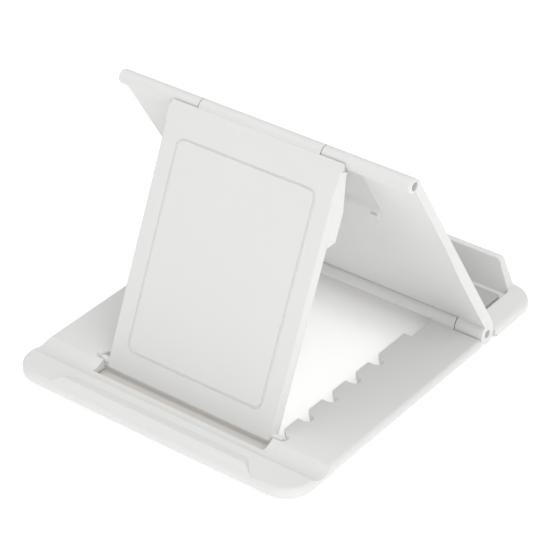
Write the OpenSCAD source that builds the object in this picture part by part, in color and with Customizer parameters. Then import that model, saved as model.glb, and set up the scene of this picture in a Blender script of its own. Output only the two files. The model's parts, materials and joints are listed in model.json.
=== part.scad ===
// Folding tablet stand: a base frame, a rest panel hinged to it and a strut hinged to the panel.
// Origin: centre of the base on the table. +Z up.
// The device stands on the -Y side, the strut is on the +Y side.

/* [Base] */
// Width of the base, left to right
base_w = 126; // [122:1:132]
// Length of the base, front to back
base_l = 151; // [150:1:156]
// Plan radius of the base's corners
corner_r = 11; // [8:0.5:12]
// Height of the plate's top face above the table
plate_top = 4.4; // [4.2:0.1:4.6]
// Thickness of the side rails
rail_t = 2.6; // [2.2:0.1:2.8]
// Distance between the inner edges of the side rails
window_w = 75.8; // [75.6:0.1:76.4]
// Height of the tall front lip that holds the device
front_lip_h = 17; // [12:0.5:20]
// Height of the low lip along the back edge
back_lip_h = 6.4; // [5.6:0.1:7.5]

/* [Angle notches] */
// Number of notches in each side rail
notch_count = 5; // [3:1:5]
// Distance from one notch to the next
notch_pitch = 13.8; // [12:0.1:14]
// How far a notch reaches into the rail
notch_depth = 3.2; // [2.5:0.1:3.4]

/* [Rest panel] */
// Width of the rest panel
panel_w = 124.8; // [120:0.2:125]
// Distance between the panel's two hinge axes
panel_len = 100; // [99:0.5:100.5]
// Angle of the panel's front face above the table when the stand is open
panel_angle = 58.85; // [58:0.05:60]

/* [Strut] */
// Width of the strut's outer face
strut_w = 73.2; // [70:0.2:73.4]
// Length of the strut from its hinge axis to its foot
strut_len = 99.4; // [99:0.1:99.6]
// Angle between the strut and the rest panel when the stand is open
strut_open = 54.85; // [54:0.05:55.5]

/* [Hinges] */
// Radius of the steel hinge pins
pin_r = 1.25; // [1:0.05:1.3]
// Radial clearance between a pin and the part that turns on it
pin_gap = 0.05; // [0.03:0.01:0.08]
// Outer radius of the lower hinge
low_hinge_r = 4; // [3.8:0.1:4.2]
// Outer radius of the upper hinge
top_hinge_r = 2.8; // [2.6:0.1:2.9]

/* [Hidden] */
$fn = 64;
eps = 0.01;          // overlap that keeps cuts and joins clean
far = 200;           // longer than any part

// Base frame
half_w = base_w / 2;
half_l = base_l / 2;
plate_bottom = plate_top - rail_t;
skirt_z = 0.4;       // underside of the thick ends, just above the feet's contact plane
hinge_y = -41.1;     // lower hinge axis
hinge_z = 4.7;
hinge_edge = 50.5;   // the base's knuckle ends here on each side
hinge_side_gap = 0.4;
hinge_slot_r = low_hinge_r + 0.6;   // half width of the slot for the panel's end knuckle
knuckle_foot = 3;    // the knuckle's block reaches this far in front of it
hood_edge = 41.8;    // the base's knuckle is an open hood between these and solid outside
hood_r = 2.8;        // inner radius of the hood
window_back = 59.2;  // edge of the window, in the trough
pocket_half = 41.2;  // half width of the window's wide front end
pocket_start = -24;
notch_first = 53.4;  // bearing wall of the notch nearest the back
notch_flat = 3.2;    // straight stretch at the notch's outer end
notch_ramp = 6.2;    // where the slanted wall meets the rail again
dimple_r = 2;        // shallow cone at each notch's outer corner
dimple_tip_r = 0.9;
dimple_in = 2.2;     // from the bearing wall to the cone's centre
dimple_out = 0.4;    // from the cone's centre to the notch's outer end
dimple_depth = 1.3;
window_half = window_w / 2;
notch_half = window_half + notch_depth;
trough_y = hinge_y + panel_len;     // the folded upper hinge lies in the trough
trough_r = 8.2;
trough_floor = 2.7;
trough_skirt = 52.6; // front end of the thick stretch at the back
front_skirt = -47;   // back end of the thick stretch at the front
rim_top_r = 1.5;     // rounding of the base's outer edge, top and bottom
rim_low_r = 1.1;
hollow_half = 47;    // hollow undersides of the two thick ends
back_hollow_y = [62, 73.5];
back_hollow_z = 2;
front_hollow_y = [-73, -49];
front_hollow_z = 1.1;

// Lips
lip_in_y = -69.7;    // inner face of the tall lip
lip_foot_y = -74.2;  // outer face at its foot
lip_crest_y = -72.7; // outer face at its crest
lip_in_r = 0.7;      // rounding of the tall lip's crest
lip_out_r = 1.2;
lip_foot_half = 52.8;
lip_crest_half = 49.1;
ridge_y = 71.4;
ridge_in_y = 67.2;   // the low lip's inner slope meets the plate here
low_lip_half = 45.2; // end of the low lip at its outer foot
low_lip_turn = 42;   // its ends run inwards at this angle, seen from above
low_lip_slope = 1.2; // and lean back by this much over their height

// Ledge pad and its recess
pad_half = 51.5;
pad_y0 = -66.4;
pad_y1 = -52.4;
pad_top = 3.6;
pad_floor = 2.4;
pad_gap = 0.6;       // between the pad and the recess, towards the hinge
pad_side_gap = 1.8;
pad_corner_r = 1.2;

// Feet
foot_r = 4.5;
foot_top = 1.6;
foot_x = 53;
foot_front_y = -66;
foot_back_y = 66;

// Rest panel, in its own frame: u runs up from the lower axis, v points to the device
panel_half = panel_w / 2;
panel_face = 4.7;    // front face
top_v = 1.9;         // upper axis
back_low = 0.3;      // back face near the lower hinge
back_high = 1.2;     // back face on the upper half
step_u0 = 38;
step_u1 = 60;
panel_foot = 1.2;
web_end = 9;         // the webs at the end knuckles reach up to here
web_step = 0.2;
relief_half = 39.3;  // recess for the strut's deep upper end
relief_u0 = 69.6;
relief_ramp = 2.7;   // length of the slope at the recess's lower end
relief_u1 = 94.6;
relief_low = 2.6;
relief_high = 2.35;
nub_x = 35.4;        // low catches on the panel's back
nub_u = 65.6;
nub_w = 2.6;
nub_l = 3.4;
nub_h = 0.8;
knuckle_half = 26;   // half width of the strut's knuckle
knuckle_gap = 0.35;
knuckle_reach = 0.6; // the knuckle's slot is this much deeper than the barrel's clearance
turn_gap = 0.35;     // clearance between a barrel and the part that turns around it
barrel_end_r = 1;    // rounding of the upper barrel's ends

// Strut, in its own frame: s runs from the upper axis to the foot, o points outwards
face_o = 5.1;        // outer face
skin = 2;            // thickness of the face
low_edge_o = 2.2;    // inner edge of the side walls, lower stretch
flare_o = 1.9;       // the upper stretch flares from here
high_edge_o = -0.1;  // inner edge of the side walls, upper stretch
wall = 1.7;
wall_draft = 0.8;
flare = 1.3;
deep_end = 27.5;     // end of the deep upper stretch
deep_blend = 2.5;
shallow_s = 17;      // above here the side walls get shallower towards the hinge
strut_top = 3.3;
strut_half = strut_w / 2;
foot_corner_r = 2.5;
peg_s = 97.8;        // pegs that rest in the notches
peg_o = 3.45;
peg_r = 1.4;
peg_tip_r = 0.8;
peg_full = 39.6;     // the taper starts here
peg_end = 40.6;
groove_half = 29.9;  // thin line engraved round the outer face
groove_s0 = 11.8;
groove_s1 = 91.2;
groove_r = 3.5;
groove_w = 0.8;
groove_depth = 0.3;

// Pins
pin_recess = 2.4;    // pin ends sit this far inside the barrel ends
pin_mouth_r = 1.6;   // wider mouth of each pin hole
low_pin_in = 44;
top_pin_in = 17;
pin_hole_in = 0.4;   // holes run this far past the pins' inner ends

// A flat rectangle with round corners, from [x0, y0] to [x1, y1]
module round_rect(x0, y0, x1, y1, r) {
    translate([x0 + r, y0]) square([x1 - x0 - 2 * r, y1 - y0]);
    translate([x0, y0 + r]) square([x1 - x0, y1 - y0 - 2 * r]);
    for (x = [x0 + r, x1 - r], y = [y0 + r, y1 - r]) translate([x, y]) circle(r);
}

// A profile drawn in (y, z), extruded along X over -half..half
module along_x(half) {
    rotate([90, 0, 90]) translate([0, 0, -half]) linear_extrude(2 * half) children();
}

// A round bar along X from x0 to x1, at height z and depth y
module bar_x(x0, x1, r, y = 0, z = 0) {
    translate([x0, y, z]) rotate([0, 90, 0]) cylinder(h = x1 - x0, r = r);
}

// A bar along X with rounded ends
module barrel(half, r) {
    rotate([0, 90, 0]) for (side = [0, 1]) mirror([0, 0, side])
        rotate_extrude() polygon(concat([[0, -1], [r, -1]], arc(r - barrel_end_r, half - barrel_end_r,
            barrel_end_r, 0, 90), [[0, half]]));
}

// A pin hole on both sides: its bore from x_in outwards, and its wider mouth at x_out
module pin_holes(x_in, x_out, bore_r, y = 0, z = 0) {
    for (side = [0, 1]) mirror([side, 0, 0]) {
        bar_x(x_in, x_out + 1, bore_r, y, z);
        bar_x(x_out - pin_recess, x_out + 1, pin_mouth_r, y, z);
    }
}

// Points on an arc round [cx, cy], from angle a0 to a1
function arc(cx, cy, r, a0, a1, steps = 6) =
    [for (i = [0 : steps]) let (a = a0 + (a1 - a0) * i / steps) [cx + r * cos(a), cy + r * sin(a)]];

// One box from its lowest to its highest corner
module box(low, high) {
    translate(low) cube(high - low);
}

// ---- Base frame ----

// Section of the rounded rim, in (distance outwards from the corner centres, z)
rim_section = concat([[0, skirt_z]],
    arc(corner_r - rim_low_r, skirt_z + rim_low_r, rim_low_r, -90, 0),
    arc(corner_r - rim_top_r, plate_top - rim_top_r, rim_top_r, 0, 90), [[0, plate_top]]);

// Plate with a rounded rim and thick ends; the side rails between them are thinner
module base_slab() {
    cx = half_w - corner_r;
    cy = half_l - corner_r;
    box([-cx - corner_r / 2, -cy - corner_r / 2, skirt_z], [cx + corner_r / 2, cy + corner_r / 2, plate_top]);
    for (sx = [0, 1], sy = [0, 1]) mirror([sx, 0, 0]) mirror([0, sy, 0]) {
        translate([cx, cy, 0]) rotate_extrude(angle = 90) polygon(rim_section);
        translate([cx, cy, 0]) rotate([90, 0, 0]) linear_extrude(cy + 1) polygon(rim_section);
        translate([-1, cy, 0]) rotate([90, 0, 90]) linear_extrude(cx + 1) polygon(rim_section);
    }
}

module rail_undercut() {
    box([-far, front_skirt, skirt_z - 1], [far, trough_skirt, plate_bottom]);
}

// Hollow undersides of the two thick ends
module under_pockets() {
    box([-hollow_half, back_hollow_y[0], skirt_z - 1], [hollow_half, back_hollow_y[1], back_hollow_z]);
    box([-hollow_half, front_hollow_y[0], skirt_z - 1], [hollow_half, front_hollow_y[1], front_hollow_z]);
}

module tall_lip() {
    difference() {
        along_x(lip_foot_half) polygon(concat(
            [[lip_foot_y, pad_floor - 1], [lip_in_y, pad_floor - 1]],
            arc(lip_in_y - lip_in_r, front_lip_h - lip_in_r, lip_in_r, 0, 90),
            arc(lip_crest_y + lip_out_r, front_lip_h - lip_out_r, lip_out_r, 90, 180)));
        for (side = [0, 1]) mirror([side, 0, 0]) lip_end_cut();
    }
}

// Slopes the end of the tall lip and rounds its upper corner
module lip_end_cut() {
    end_r = 3.2;
    rotate([90, 0, 0]) linear_extrude(far) difference() {
        polygon([[lip_crest_half - end_r, front_lip_h - end_r], [lip_crest_half - end_r, front_lip_h + 5],
            [far, front_lip_h + 5], [far, plate_top], [lip_foot_half, plate_top],
            [lip_crest_half, front_lip_h - end_r]]);
        translate([lip_crest_half - end_r, front_lip_h - end_r]) circle(end_r);
    }
}

module low_lip() {
    crest_r = 1.3;
    difference() {
        along_x(low_lip_half) polygon(concat([[half_l - 0.3, plate_top - 2], [half_l - 0.8, plate_top]],
            arc(ridge_y + 0.8, back_lip_h - crest_r, crest_r, 20, 120),
            [[ridge_in_y, plate_top - eps], [ridge_in_y, plate_top - 2]]));
        for (side = [0, 1]) mirror([side, 0, 0])
            translate([low_lip_half, half_l, 0]) rotate([90, 0, -low_lip_turn])
                translate([0, 0, -far / 2]) linear_extrude(far)
                    polygon([[0, plate_top], [-low_lip_slope, back_lip_h], [far, back_lip_h + 1],
                        [far, plate_top]]);
    }
}

// One side of the window's stepped edge: the rail, its notches and the wide front pocket
module window_side() {
    polygon([[0, window_back], [window_half, window_back], [window_half, pocket_start],
        [pocket_half, pocket_start], [pocket_half, hinge_y], [0, hinge_y]]);
    for (i = [0 : notch_count - 1]) {
        y = notch_first - i * notch_pitch;
        polygon([[window_half - 1, y], [notch_half, y], [notch_half, y - notch_flat],
            [window_half, y - notch_ramp], [window_half - 1, y - notch_ramp]]);
    }
}

module window_cut() {
    for (side = [0, 1]) mirror([side, 0, 0]) {
        translate([0, 0, -1]) linear_extrude(far) window_side();
        for (i = [0 : notch_count - 1])
            translate([notch_half - dimple_out, notch_first - i * notch_pitch - dimple_in,
                plate_top - dimple_depth]) cylinder(h = dimple_depth + eps, r1 = dimple_tip_r, r2 = dimple_r);
    }
}

// Knuckle of the lower hinge, raised on the plate between the panel's end knuckles
module base_knuckle() {
    intersection() {
        union() {
            bar_x(-hinge_edge, hinge_edge, low_hinge_r, hinge_y, hinge_z);
            box([-hinge_edge, hinge_y - low_hinge_r - knuckle_foot, skirt_z],
                [hinge_edge, hinge_y, plate_top]);
        }
        box([-far, -far, skirt_z], [far, far, far]);
    }
}

// Space under the knuckle for the folded strut's foot
module hood_cut() {
    bar_x(-hood_edge, hood_edge, hood_r, hinge_y, hinge_z);
    box([-hood_edge, hinge_y, -1], [hood_edge, hinge_y + low_hinge_r + 1, hinge_z]);
    box([-hood_edge, hinge_y - hood_r, -1], [hood_edge, hinge_y + eps, hinge_z - 1]);
}

module end_knuckle_slots() {
    for (side = [0, 1]) mirror([side, 0, 0])
        box([hinge_edge, hinge_y - hinge_slot_r, -1], [far, hinge_y + hinge_slot_r, far]);
}

module pad_recess() {
    translate([0, 0, pad_floor]) linear_extrude(far)
        round_rect(-pad_half - pad_side_gap, lip_in_y, pad_half + pad_side_gap, pad_y1 + pad_gap,
            pad_corner_r);
}

module foot_recesses() {
    for (x = [-foot_x, foot_x], y = [foot_front_y, foot_back_y])
        translate([x, y, -1]) cylinder(h = foot_top + 1, r = foot_r);
}

module base_frame() {
    color([0.93, 0.93, 0.92]) difference() {
        union() {
            difference() {
                base_slab();
                rail_undercut();
                under_pockets();
                bar_x(-far, far, trough_r, trough_y, trough_floor + trough_r);
                window_cut();
                pad_recess();
            }
            tall_lip();
            low_lip();
            base_knuckle();
        }
        hood_cut();
        end_knuckle_slots();
        foot_recesses();
        pin_holes(low_pin_in - pin_hole_in, far, pin_r, hinge_y, hinge_z);
    }
}

module ledge_pad() {
    color([0.62, 0.62, 0.61]) translate([0, 0, pad_floor]) linear_extrude(pad_top - pad_floor)
        round_rect(-pad_half, pad_y0, pad_half, pad_y1, pad_corner_r);
}

module foot(x, y) {
    rim = 0.3;       // narrow chamfer round the contact face
    color([0.8, 0.8, 0.79]) translate([x, y, 0]) {
        cylinder(h = rim, r1 = foot_r - rim, r2 = foot_r);
        translate([0, 0, rim]) cylinder(h = foot_top - rim, r = foot_r);
    }
}

module foot_front_left() { foot(-foot_x, foot_front_y); }
module foot_front_right() { foot(foot_x, foot_front_y); }
module foot_back_left() { foot(-foot_x, foot_back_y); }
module foot_back_right() { foot(foot_x, foot_back_y); }

// ---- Rest panel ----

// Puts a shape drawn in the panel's frame (Y is u, Z is v) at the open pose
module on_panel() {
    translate([0, hinge_y, hinge_z]) rotate([panel_angle, 0, 0]) children();
}

module panel_plate() {
    along_x(panel_half) polygon([[panel_foot, panel_face], [panel_len, panel_face], [panel_len, back_high],
        [step_u1, back_high], [step_u0, back_low], [panel_foot, back_low]]);
}

module panel_relief() {
    along_x(relief_half) polygon([[relief_u0, -far], [relief_u0, back_high],
        [relief_u0 + relief_ramp, relief_low], [relief_u1, relief_high], [panel_len, relief_high], [panel_len, -far]]);
}

// Gap in the upper barrel for the strut's knuckle
module knuckle_slot() {
    half = knuckle_half + knuckle_gap;
    box([-half, panel_len - top_hinge_r - turn_gap - knuckle_reach, -far], [half, far, far]);
}

// Low catches on the back face, one on each side
module nubs() {
    for (side = [0, 1]) mirror([side, 0, 0])
        box([nub_x - nub_w / 2, nub_u - nub_l / 2, back_high - nub_h],
            [nub_x + nub_w / 2, nub_u + nub_l / 2, back_high + 1]);
}

module rest_panel() {
    color([0.94, 0.94, 0.93]) on_panel() difference() {
        union() {
            difference() {
                union() {
                    panel_plate();
                    nubs();
                }
                panel_relief();
                bar_x(-far, far, low_hinge_r + turn_gap);
            }
            translate([0, panel_len, top_v]) barrel(panel_half, top_hinge_r);
            for (side = [0, 1]) mirror([side, 0, 0]) end_knuckle();
        }
        knuckle_slot();
        pin_holes(low_pin_in, panel_half, pin_r + pin_gap);
        pin_holes(top_pin_in, panel_half, pin_r, panel_len, top_v);
    }
}

// Knuckle at one end of the panel's foot, with the web that joins it to the panel
module end_knuckle() {
    x0 = hinge_edge + hinge_side_gap;
    bar_x(x0, panel_half, low_hinge_r);
    translate([x0, 0, 0]) rotate([90, 0, 90]) linear_extrude(panel_half - x0)
        polygon([[0, low_hinge_r - web_step], [panel_foot, panel_face], [web_end, panel_face],
            [web_end, back_low], [0, back_low]]);
}

// ---- Strut ----

// Puts a shape drawn in the strut's frame (Y is -s, Z is -o) at the open pose
module on_strut() {
    on_panel() translate([0, panel_len, top_v]) rotate([strut_open, 0, 0]) children();
}

// Half of the strut's cross-section in (x, o), with side walls down to edge_o
function half_section(edge_o, edge_x) = [
    [strut_half - 0.8, face_o], [strut_half - 0.25, face_o - 0.2], [strut_half, face_o - 0.7],
    [strut_half + wall_draft, flare_o + 0.3], [edge_x, edge_o], [edge_x - wall, edge_o],
    [strut_half + wall_draft - wall, flare_o + 0.3], [strut_half - wall, face_o - skin]];

function mirrored(points) = [for (i = [len(points) - 1 : -1 : 0]) [-points[i][0], points[i][1]]];

// The whole cross-section from s0 to s1
module strut_run(s0, s1, edge_o, edge_x) {
    right = half_section(edge_o, edge_x);
    translate([0, -s0, 0]) rotate([90, 0, 0]) linear_extrude(s1 - s0)
        scale([1, -1]) polygon(concat(right, mirrored(right)));
}

// Deep upper stretch, shallow lower stretch and the slope between them
module strut_tray() {
    low_x = strut_half + wall_draft;
    high_x = low_x + flare;
    difference() {
        strut_run(strut_top, deep_end, high_edge_o, high_x);
        along_x(far) polygon([[1, -low_edge_o], [-strut_top, -low_edge_o], [-shallow_s, -high_edge_o + eps],
            [-shallow_s, 5], [1, 5]]);
    }
    strut_run(deep_end - eps, strut_len, low_edge_o, low_x);
    deep_slopes(low_x, high_x);
}

// Slope at the end of the deep stretch, one small wedge on each side wall
module deep_slopes(low_x, high_x) {
    for (side = [0, 1]) mirror([side, 0, 0]) hull() {
        translate([high_x - wall, -deep_end, -high_edge_o - 0.1]) cube([wall, 0.1, 0.1]);
        translate([low_x - wall, -deep_end, -low_edge_o - 0.3]) cube([wall, 0.1, 0.3]);
        translate([low_x - wall, -deep_end - deep_blend, -low_edge_o - 0.3]) cube([wall, 0.1, 0.3]);
    }
}

// Closes the tray at the top and reaches round the panel's barrel
module shoulders() {
    along_x(strut_half) polygon([[-0.5, -3.25], [-0.7, -3.6], [-1.8, -4.0], [-2.4, -4.7], [-3.2, -face_o],
        [-8, -face_o], [-8, skin - face_o], [-5.2, skin - face_o], [-5.2, -high_edge_o],
        [-strut_top, -high_edge_o], [-strut_top, -2]]);
}

module strut_knuckle() {
    bar_x(-knuckle_half, knuckle_half, top_hinge_r);
    along_x(knuckle_half) polygon([[0, -top_hinge_r], [-1.8, -4.0], [-4, -face_o + 0.5],
        [-4, 0.8 - skin], [-5.2, 0], [-strut_top, -high_edge_o], [-2.4, 1.2], [0, 0]]);
}

module peg() {
    translate([0, -peg_s, -peg_o]) {
        bar_x(strut_half - 1, peg_full, peg_r);
        translate([peg_full - eps, 0, 0]) rotate([0, 90, 0])
            cylinder(h = peg_end - peg_full, r1 = peg_r, r2 = peg_tip_r);
    }
}

module face_groove() {
    translate([0, 0, -face_o - 1]) linear_extrude(1 + groove_depth) difference() {
        round_rect(-groove_half, -groove_s1, groove_half, -groove_s0, groove_r);
        round_rect(-groove_half + groove_w, -groove_s1 + groove_w, groove_half - groove_w,
            -groove_s0 - groove_w, groove_r - groove_w);
    }
}

// What the strut's outline stays inside, with the foot's two corners round
module foot_corners() {
    low_x = strut_half + wall_draft;
    translate([0, 0, -far / 2]) linear_extrude(far) {
        round_rect(-low_x, -strut_len, low_x, 0, foot_corner_r);
        translate([-half_w, -deep_end - deep_blend]) square([base_w, 2 * deep_end]);
    }
}

module strut() {
    color([0.95, 0.95, 0.94]) on_strut() difference() {
        union() {
            difference() {
                intersection() {
                    union() {
                        strut_tray();
                        shoulders();
                    }
                    foot_corners();
                }
                bar_x(-far, far, top_hinge_r + turn_gap);
            }
            strut_knuckle();
            for (side = [0, 1]) mirror([side, 0, 0]) peg();
        }
        face_groove();
        pin_holes(top_pin_in - pin_hole_in, far, pin_r + pin_gap);
    }
}

// ---- Pins ----

module low_pin() {
    bar_x(low_pin_in, panel_half - pin_recess, pin_r, hinge_y, hinge_z);
}

module top_pin() {
    on_panel() bar_x(top_pin_in, panel_half - pin_recess, pin_r, panel_len, top_v);
}

module panel_pin_left() { color("silver") mirror([1, 0, 0]) low_pin(); }
module panel_pin_right() { color("silver") low_pin(); }
module strut_pin_left() { color("silver") mirror([1, 0, 0]) top_pin(); }
module strut_pin_right() { color("silver") top_pin(); }

base_frame();
ledge_pad();
foot_front_left();
foot_front_right();
foot_back_left();
foot_back_right();
rest_panel();
strut();
panel_pin_left();
panel_pin_right();
strut_pin_left();
strut_pin_right();
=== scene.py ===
"""Folding tablet stand: looks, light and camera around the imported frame."""
import json
import math

import bmesh
import bpy
from mathutils import Matrix, Vector


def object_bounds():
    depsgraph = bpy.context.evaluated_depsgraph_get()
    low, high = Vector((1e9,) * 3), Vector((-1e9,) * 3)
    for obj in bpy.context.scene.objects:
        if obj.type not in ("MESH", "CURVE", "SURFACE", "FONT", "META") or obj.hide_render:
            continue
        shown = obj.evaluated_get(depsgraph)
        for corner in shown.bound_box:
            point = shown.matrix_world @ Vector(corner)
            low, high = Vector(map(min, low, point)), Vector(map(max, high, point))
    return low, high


MM = 0.001

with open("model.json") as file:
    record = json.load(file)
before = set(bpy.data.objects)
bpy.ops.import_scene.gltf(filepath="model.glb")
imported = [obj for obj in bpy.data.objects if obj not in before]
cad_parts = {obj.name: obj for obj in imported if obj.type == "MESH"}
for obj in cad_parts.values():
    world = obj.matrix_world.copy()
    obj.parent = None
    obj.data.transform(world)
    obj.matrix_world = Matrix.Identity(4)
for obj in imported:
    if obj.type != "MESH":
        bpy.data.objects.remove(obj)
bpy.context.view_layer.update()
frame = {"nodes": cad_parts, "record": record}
nodes = frame["nodes"]
scene = bpy.context.scene


# ---- Camera ----

CAM_AZIMUTH = 37.58      # degrees; the camera stands on the strut side, towards -X
CAM_ELEVATION = 33.58
CAM_ROLL = -0.30
CAM_DISTANCE = 835.0     # mm, from the aim plane
CAM_SENSOR = 36.0        # mm
CAM_FOCAL = 155.2        # mm on that sensor
CAM_AIM = (0.0, 14.5, 30.0)
CAM_OFFSET = (-7.3, -3.75)   # mm, the aim point is this far right and up of the view's centre


def make_camera():
    a, e = math.radians(CAM_AZIMUTH), math.radians(CAM_ELEVATION)
    forward = Vector((math.sin(a) * math.cos(e), -math.cos(a) * math.cos(e), -math.sin(e)))
    right = Vector((-math.cos(a), -math.sin(a), 0.0))
    up = right.cross(forward)
    place = (Vector(CAM_AIM) - right * CAM_OFFSET[0] - up * CAM_OFFSET[1]
             - forward * CAM_DISTANCE)
    roll = Matrix.Rotation(math.radians(CAM_ROLL), 3, "Z")
    turn = Matrix((right, up, -forward)).transposed() @ roll
    data = bpy.data.cameras.new("camera")
    data.lens = CAM_FOCAL
    data.sensor_width = CAM_SENSOR
    data.sensor_fit = "HORIZONTAL"
    data.clip_start = 0.05
    data.clip_end = 20.0
    camera = bpy.data.objects.new("camera", data)
    camera.matrix_world = Matrix.Translation(place * MM) @ turn.to_4x4()
    scene.collection.objects.link(camera)
    scene.camera = camera


# ---- Materials ----

NOISE_LOW, NOISE_HIGH = 0.3, 0.7
MIX_A, MIX_B, MIX_COLOUR = 6, 7, 2     # the colour sockets of a Mix node
MOULD_RADIUS = 0.00018                 # m; every moulded edge is slightly rounded

class Graph:
    """A short way to build a node material."""

    def __init__(self, name):
        self.material = bpy.data.materials.new(name)
        self.material.use_nodes = True
        self.tree = self.material.node_tree
        self.tree.nodes.clear()
        self.out = self.add("ShaderNodeOutputMaterial")
        self.shader = self.add("ShaderNodeBsdfPrincipled")
        self.link(self.shader, "BSDF", self.out, "Surface")
        self.place = self.add("ShaderNodeTexCoord")

    def add(self, kind, **values):
        node = self.tree.nodes.new(kind)
        for name, value in values.items():
            if hasattr(node, name):
                setattr(node, name, value)
            else:
                node.inputs[name.replace("_", " ")].default_value = value
        return node

    def link(self, a, a_name, b, b_name):
        self.tree.links.new(a.outputs[a_name], b.inputs[b_name])

    def noise(self, scale, detail=2.0, roughness=0.5, stretch=None):
        node = self.add("ShaderNodeTexNoise", Scale=scale, Detail=detail, Roughness=roughness)
        if stretch is None:
            self.link(self.place, "Object", node, "Vector")
        else:
            mapping = self.add("ShaderNodeMapping")
            mapping.inputs["Scale"].default_value = stretch
            self.link(self.place, "Object", mapping, "Vector")
            self.link(mapping, "Vector", node, "Vector")
        return node

    def ramp(self, source, output, low, high):
        """Maps a noise, which lies mostly between NOISE_LOW and NOISE_HIGH, to low..high."""
        node = self.add("ShaderNodeMapRange")
        node.inputs["From Min"].default_value = NOISE_LOW
        node.inputs["From Max"].default_value = NOISE_HIGH
        node.inputs["To Min"].default_value = low
        node.inputs["To Max"].default_value = high
        self.link(source, output, node, "Value")
        return node

    def mixed(self, factor, factor_out, one, other):
        node = self.add("ShaderNodeMix", data_type="RGBA")
        node.inputs[MIX_A].default_value = (*one, 1)
        node.inputs[MIX_B].default_value = (*other, 1)
        self.tree.links.new(factor.outputs[factor_out], node.inputs[0])
        return node

    def bump(self, height, output, distance, strength, under=None):
        node = self.add("ShaderNodeBump", Distance=distance, Strength=strength)
        self.link(height, output, node, "Height")
        if under is not None:
            self.link(under, "Normal", node, "Normal")
        return node

    def colour(self, mix):
        self.tree.links.new(mix.outputs[MIX_COLOUR], self.shader.inputs["Base Color"])

    def socket(self, name, value):
        self.shader.inputs[name].default_value = value


def moulded_plastic(name, tint, worn):
    """Satin ABS: fine spark-eroded grain, slow tone drift, faint mould waviness."""
    g = Graph(name)
    drift = g.noise(22.0, 3.0, 0.55)
    g.colour(g.mixed(g.ramp(drift, "Fac", 0.0, 1.0), "Result", tint, worn))
    patch = g.noise(60.0, 4.0, 0.6)
    g.link(g.ramp(patch, "Fac", 0.40, 0.52), "Result", g.shader, "Roughness")
    wave = g.bump(g.noise(35.0, 1.0), "Fac", 0.0003, 0.05)
    rounded = g.add("ShaderNodeBevel", samples=6, Radius=MOULD_RADIUS)
    g.link(wave, "Normal", rounded, "Normal")
    grain = g.bump(g.noise(5200.0, 3.0, 0.6), "Fac", 0.00004, 0.35, rounded)
    g.link(grain, "Normal", g.shader, "Normal")
    g.socket("IOR", 1.5)
    g.socket("Specular IOR Level", 0.45)
    g.socket("Subsurface Weight", 0.05)
    g.socket("Subsurface Radius", (0.9, 0.9, 0.85))
    g.socket("Subsurface Scale", 0.001)
    return g.material


def soft_rubber(name, tint, worn, grain_size):
    """Matt silicone: fine grain, dusty tone changes and a soft sheen."""
    g = Graph(name)
    dust = g.noise(140.0, 5.0, 0.65)
    g.colour(g.mixed(g.ramp(dust, "Fac", 0.0, 1.0), "Result", tint, worn))
    g.link(g.ramp(g.noise(90.0, 3.0), "Fac", 0.62, 0.78), "Result", g.shader, "Roughness")
    grain = g.bump(g.noise(grain_size, 4.0, 0.7), "Fac", 0.00006, 0.5)
    g.link(grain, "Normal", g.shader, "Normal")
    g.socket("Sheen Weight", 0.15)
    g.socket("Sheen Roughness", 0.5)
    g.socket("Specular IOR Level", 0.35)
    return g.material


def drawn_steel(name):
    """Drawn wire: fine lines along the pin, with darker patches scattered all over it."""
    g = Graph(name)
    stain = g.noise(420.0, 5.0, 0.7)
    g.colour(g.mixed(g.ramp(stain, "Fac", 0.0, 1.0), "Result",
                     (0.50, 0.50, 0.51), (0.30, 0.29, 0.28)))
    lines = g.noise(1500.0, 3.0, 0.6, stretch=(0.02, 1.0, 1.0))
    g.link(g.ramp(lines, "Fac", 0.28, 0.46), "Result", g.shader, "Roughness")
    g.link(g.bump(lines, "Fac", 0.00003, 0.4), "Normal", g.shader, "Normal")
    g.socket("Metallic", 1.0)
    return g.material


MATERIALS = {
    "white_plastic": moulded_plastic("white_plastic",
                                     (0.715, 0.715, 0.706), (0.703, 0.703, 0.693)),
    "grey_rubber": soft_rubber("grey_rubber",
                               (0.430, 0.430, 0.422), (0.405, 0.405, 0.398), 3200.0),
    "foot_rubber": soft_rubber("foot_rubber",
                               (0.580, 0.580, 0.570), (0.520, 0.520, 0.510), 2600.0),
    "pin_steel": drawn_steel("pin_steel"),
}


# ---- Surfaces ----

SHARP_ANGLE = 32          # degrees; two faces that meet at more than this keep a crisp edge
WELD_DISTANCE = 0.002     # mm


def sharp_edges():
    """Geometry nodes that keep the edges above SHARP_ANGLE crisp and smooth the rest."""
    group = bpy.data.node_groups.new("sharp_edges", "GeometryNodeTree")
    group.interface.new_socket("Geometry", in_out="INPUT", socket_type="NodeSocketGeometry")
    group.interface.new_socket("Geometry", in_out="OUTPUT", socket_type="NodeSocketGeometry")
    start, end = group.nodes.new("NodeGroupInput"), group.nodes.new("NodeGroupOutput")
    bend = group.nodes.new("GeometryNodeInputMeshEdgeAngle")
    above = group.nodes.new("FunctionNodeCompare")
    above.operation = "GREATER_THAN"
    above.inputs["B"].default_value = math.radians(SHARP_ANGLE)
    faces = group.nodes.new("GeometryNodeSetShadeSmooth")
    faces.domain = "FACE"
    edges = group.nodes.new("GeometryNodeSetShadeSmooth")
    edges.domain = "EDGE"
    edges.inputs["Shade Smooth"].default_value = False
    for out, into in ((start.outputs[0], faces.inputs["Geometry"]),
                      (faces.outputs[0], edges.inputs["Geometry"]),
                      (bend.outputs["Unsigned Angle"], above.inputs["A"]),
                      (above.outputs[0], edges.inputs["Selection"]),
                      (edges.outputs[0], end.inputs[0])):
        group.links.new(out, into)
    return group


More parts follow.
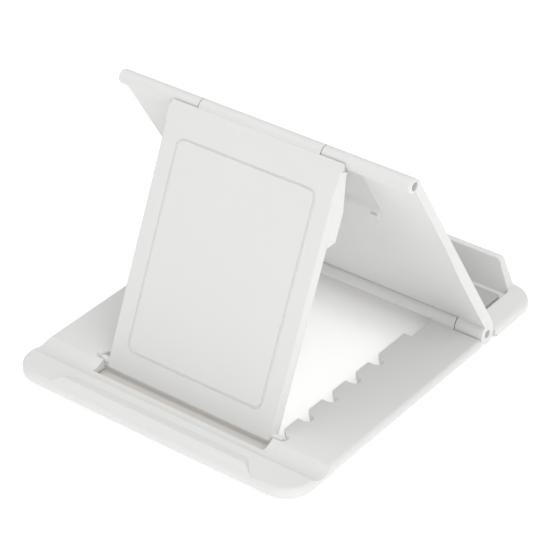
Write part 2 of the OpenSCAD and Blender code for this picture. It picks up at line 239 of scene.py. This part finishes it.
def finish_surface(piece, group):
    """Joins the node's faces, then keeps the flat ones flat and the curved ones smooth."""
    weld = piece.modifiers.new("weld", "WELD")
    weld.merge_threshold = WELD_DISTANCE * MM
    crisp = piece.modifiers.new("crisp", "NODES")
    crisp.node_group = group
    weighted = piece.modifiers.new("weighted", "WEIGHTED_NORMAL")
    weighted.keep_sharp = True


def dress():
    group = sharp_edges()
    for row in frame["record"]["subparts"]:
        piece = nodes[row["node"]]
        piece.data.materials.clear()
        piece.data.materials.append(MATERIALS[row["material_slot"]])
        finish_surface(piece, group)


# ---- Floor and light ----

FLOOR_GLOW = 0.33         # the bright paper sweep round the stand
FLOOR_SIZE = 4.0          # m, from the middle to the edge
FLOOR_DROP = 0.1          # mm below the feet

# Painted shade: the floor's colour and glow are darkened under the stand between these places,
# in mm: (no shade, full shade)
SHADE_INWARD = (-14, -38)     # along Y, from the window's middle towards the lower hinge
SHADE_INWARD_MOST = 0.40
SHADE_SLOT = (47, 54)         # along Y, at the strut's foot
SHADE_FRONT = (-50, -46)      # along Y, and the next: the shade ends under the base
SHADE_BACK = (66, 62)
SHADE_SIDE = (52, 46)         # along X, either way

WORLD_STRENGTH = 0.65
LAMP_AIM = (0, 0, 0.03)
LAMPS = (   # name, place in m, size in m, power in W
    ("overhead", (0.0, 0.0, 1.6), 1.2, 4.6),
    ("high_left", (-0.9, 0.15, 1.2), 0.9, 3.8),
    ("high_right", (0.9, 0.15, 1.2), 0.9, 2.0),
    ("low_left", (-1.0, 1.0, 0.45), 0.9, 4.6),
)


def painted_floor_shade(g):
    """Painted shade mask: 0 on the open floor; up to 1 in the window, near the hinge and at
    the strut's foot.
    """
    split = g.add("ShaderNodeSeparateXYZ")
    g.link(g.place, "Object", split, "Vector")
    across = g.add("ShaderNodeMath", operation="ABSOLUTE")
    g.tree.links.new(split.outputs["X"], across.inputs[0])

    def rise(source, output, span, most=1.0):
        node = g.add("ShaderNodeMapRange", interpolation_type="SMOOTHSTEP")
        node.inputs["From Min"].default_value = span[0] * MM
        node.inputs["From Max"].default_value = span[1] * MM
        node.inputs["To Max"].default_value = most
        g.link(source, output, node, "Value")
        return node

    def join(operation, one, other):
        node = g.add("ShaderNodeMath", operation=operation)
        g.tree.links.new(one.outputs[0], node.inputs[0])
        g.tree.links.new(other.outputs[0], node.inputs[1])
        return node

    inward = rise(split, "Y", SHADE_INWARD, SHADE_INWARD_MOST)
    slot = rise(split, "Y", SHADE_SLOT)
    ends = join("MULTIPLY", rise(split, "Y", SHADE_FRONT), rise(split, "Y", SHADE_BACK))
    inside = join("MULTIPLY", rise(across, "Value", SHADE_SIDE), ends)
    return join("MULTIPLY", join("MAXIMUM", inward, slot), inside)


def make_floor():
    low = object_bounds()[0]
    mesh = bpy.data.meshes.new("floor")
    bm = bmesh.new()
    bmesh.ops.create_grid(bm, x_segments=8, y_segments=8, size=FLOOR_SIZE)
    bm.to_mesh(mesh)
    bm.free()
    floor = bpy.data.objects.new("floor", mesh)
    floor.location = (0, 0, low[2] - FLOOR_DROP * MM)
    scene.collection.objects.link(floor)
    g = Graph("floor")
    painted_shade = painted_floor_shade(g)
    # painted shade: the floor's colour turns warm grey where the mask is up
    g.colour(g.mixed(painted_shade, "Value", (0.905, 0.905, 0.905), (0.62, 0.60, 0.57)))
    g.socket("Roughness", 0.9)
    g.socket("Emission Color", (1.0, 1.0, 0.995, 1))
    # painted shade: the floor's glow fades to none where the mask is up
    glow = g.add("ShaderNodeMapRange")
    glow.inputs["To Min"].default_value = FLOOR_GLOW
    glow.inputs["To Max"].default_value = 0.0
    g.link(painted_shade, "Value", glow, "Value")
    g.link(glow, "Result", g.shader, "Emission Strength")
    g.socket("Specular IOR Level", 0.1)
    mesh.materials.append(g.material)


def area_light(name, place, size, power):
    data = bpy.data.lights.new(name, "AREA")
    data.shape = "SQUARE"
    data.size = size
    data.energy = power
    lamp = bpy.data.objects.new(name, data)
    lamp.location = place
    lamp.rotation_euler = (Vector(place) - Vector(LAMP_AIM)).to_track_quat("Z", "Y").to_euler()
    scene.collection.objects.link(lamp)


def make_light():
    world = bpy.data.worlds.new("world")
    world.use_nodes = True
    sky = world.node_tree.nodes["Background"]
    sky.inputs["Color"].default_value = (1.0, 1.0, 1.0, 1)
    sky.inputs["Strength"].default_value = WORLD_STRENGTH
    scene.world = world
    for lamp in LAMPS:
        area_light(*lamp)
    scene.view_settings.view_transform = "Standard"
    scene.view_settings.look = "None"
    scene.view_settings.exposure = 0.0


make_camera()
dress()
make_floor()
make_light()
